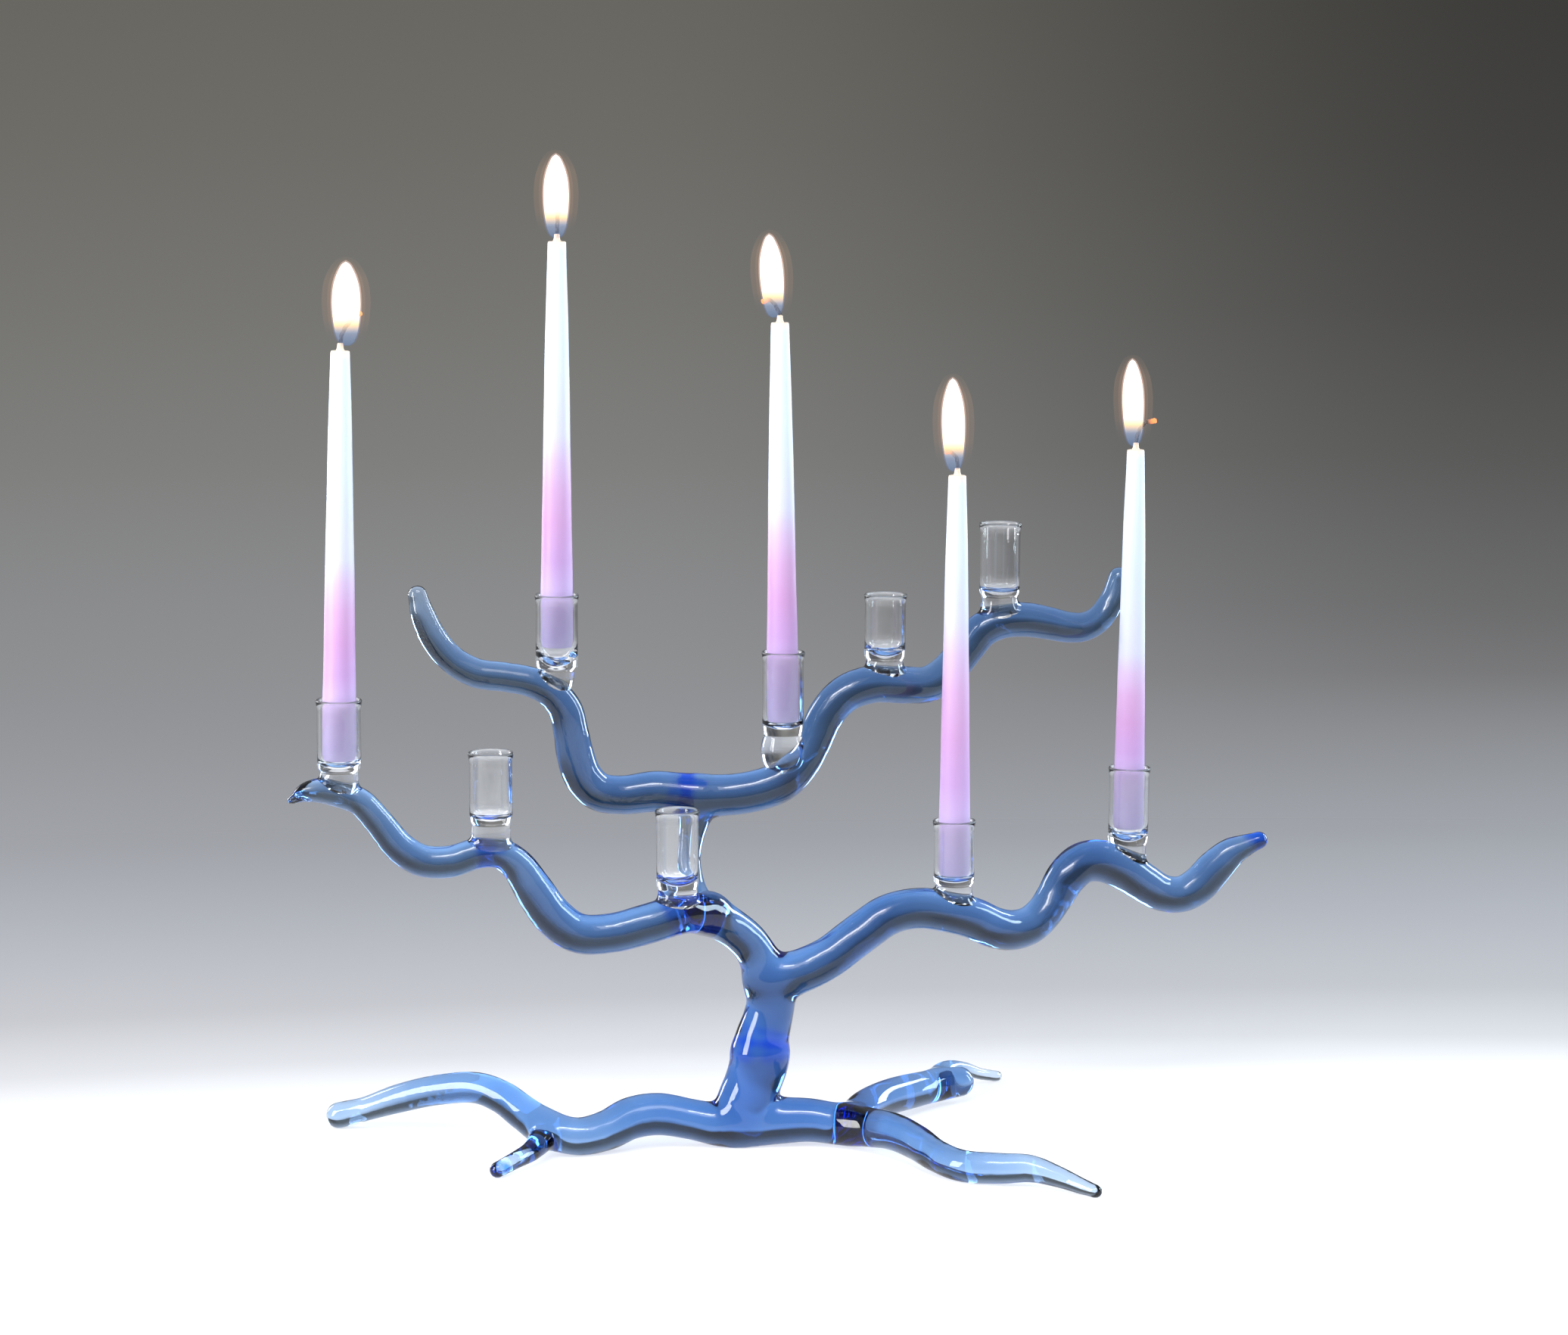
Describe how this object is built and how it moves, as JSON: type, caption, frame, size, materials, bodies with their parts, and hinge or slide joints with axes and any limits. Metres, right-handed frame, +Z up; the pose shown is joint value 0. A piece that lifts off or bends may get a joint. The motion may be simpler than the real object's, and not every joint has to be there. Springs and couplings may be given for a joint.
{
  "type": "menorah",
  "caption": "Lampworked glass menorah shaped as a leaning tree, with wavy blue branches, clear tube cups and tapered candles.",
  "frame": {"origin": "middle of the small flat under the heel of the trunk, where the tree rests on the table", "axes": "+X to the right along the branches, +Y to the back, +Z up"},
  "size_m": [0.3285, 0.1587, 0.3161],
  "materials": {
    "blue_glass": "flame polished, smooth and clear, sapphire blue",
    "deep_glass": "flame polished, strong cobalt blue at the welds",
    "smoke_glass": "flame polished, pale smoky blue",
    "pale_glass": "flame polished, almost colourless",
    "clear_glass": "flame polished, colourless",
    "wax": "dipped wax, white at the top and mauve at the foot",
    "wick": "braided cotton, charred"
  },
  "bodies": {
    "tree": {"base_bar": "blue_glass", "root_left": "smoke_glass", "root_left_toe": "smoke_glass", "root_right_front": "smoke_glass", "root_right_back": "blue_glass", "root_right_back_toe": "pale_glass", "trunk_lower": "blue_glass", "trunk_upper": "deep_glass", "arm_left": "blue_glass", "lower_left_inner": "blue_glass", "lower_left_outer": "blue_glass", "lower_left_tip": "smoke_glass", "lower_right_inner": "blue_glass", "lower_right_middle": "blue_glass", "lower_right_tip": "blue_glass", "upper_left_tip": "smoke_glass", "upper_left_inner": "blue_glass", "upper_right_inner": "deep_glass", "upper_right_middle": "blue_glass", "upper_right_tip": "smoke_glass", "stem_back": "smoke_glass", "cup_1_foot": "clear_glass", "cup_2_foot": "clear_glass", "cup_3_foot": "clear_glass", "cup_4_foot": "clear_glass", "cup_5_foot": "clear_glass", "cup_6_foot": "clear_glass", "cup_7_foot": "clear_glass", "cup_8_foot": "clear_glass", "cup_9_foot": "clear_glass", "cup_1": "clear_glass", "cup_2": "clear_glass", "cup_3": "clear_glass", "cup_4": "clear_glass", "cup_5": "clear_glass", "cup_6": "clear_glass", "cup_7": "clear_glass", "cup_8": "clear_glass", "cup_9": "clear_glass"},
    "candle_in_cup_1": {"candle_1": "wax", "wick_1": "wick"},
    "candle_in_cup_4": {"candle_4": "wax", "wick_4": "wick"},
    "candle_in_cup_5": {"candle_5": "wax", "wick_5": "wick"},
    "candle_in_cup_8": {"candle_8": "wax", "wick_8": "wick"},
    "candle_in_cup_9": {"candle_9": "wax", "wick_9": "wick"}
  },
  "joints": [
    {"name": "candle_1_lift", "type": "slide", "parent": "tree", "child": "candle_in_cup_1", "axis": [0.0087, 0, 1], "range_m": [0, 0.04]},
    {"name": "candle_4_lift", "type": "slide", "parent": "tree", "child": "candle_in_cup_4", "axis": [0.007, 0, 1], "range_m": [0, 0.04]},
    {"name": "candle_5_lift", "type": "slide", "parent": "tree", "child": "candle_in_cup_5", "axis": [0.0052, 0, 1], "range_m": [0, 0.04]},
    {"name": "candle_8_lift", "type": "slide", "parent": "tree", "child": "candle_in_cup_8", "axis": [-0.0035, 0, 1], "range_m": [0, 0.04]},
    {"name": "candle_9_lift", "type": "slide", "parent": "tree", "child": "candle_in_cup_9", "axis": [0.0105, 0, 0.9999], "range_m": [0, 0.04]}
  ]
}
